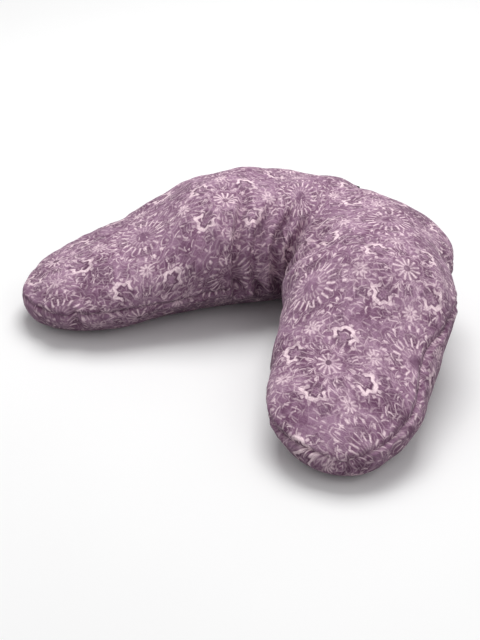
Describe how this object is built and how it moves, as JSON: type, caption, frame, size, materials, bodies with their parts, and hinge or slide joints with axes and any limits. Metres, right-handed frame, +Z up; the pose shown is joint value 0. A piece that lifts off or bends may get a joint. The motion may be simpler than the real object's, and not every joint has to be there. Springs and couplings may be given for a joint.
{
  "type": "nursing pillow",
  "caption": "V-shaped nursing pillow: a filled inner case in a printed removable cover that a coil zip closes along the outer back seam.",
  "frame": {"origin": "middle of the pillow's footprint, on the floor", "axes": "+Z up; the two arms reach towards -Y; +X to the right when seen from the open side; the outer back with the zip faces +Y"},
  "size_m": [0.66, 0.4737, 0.18],
  "materials": {
    "cover_fabric": "printed cotton, fine plain weave, matt",
    "case_fabric": "undyed cotton ticking, matt",
    "fill": "loose hollow-fibre filling",
    "zip_tape": "woven polyester tape, matt",
    "zip_coil": "nylon monofilament coil, satin",
    "zip_metal": "painted zinc, satin",
    "tab_fabric": "grey woven tape, matt",
    "label_fabric": "white satin label tape, blank"
  },
  "bodies": {
    "pillow": {"cover_top_panel": "cover_fabric", "cover_bottom_panel": "cover_fabric", "case_top_panel": "case_fabric", "case_bottom_panel": "case_fabric", "filling": "fill", "zip_tape_upper": "zip_tape", "zip_tape_lower": "zip_tape", "zip_coil_upper": "zip_coil", "zip_coil_lower": "zip_coil", "zip_top_stops": "zip_metal", "zip_bottom_stop": "zip_metal", "seam_tab": "tab_fabric", "care_label": "label_fabric"},
    "slider": {"zip_slider": "zip_metal"},
    "pull": {"zip_pull": "zip_metal"}
  },
  "joints": [
    {"name": "zip_slider_travel", "type": "hinge", "parent": "pillow", "child": "slider", "pos_m": [0, -0.087, 0.11], "axis": [0, 0, -1], "range_deg": [0, 43.14]},
    {"name": "zip_pull_swing", "type": "hinge", "parent": "slider", "child": "pull", "pos_m": [-0.11795, 0.21134, 0.11], "axis": [0, 0, 1], "range_deg": [0, 175]}
  ]
}
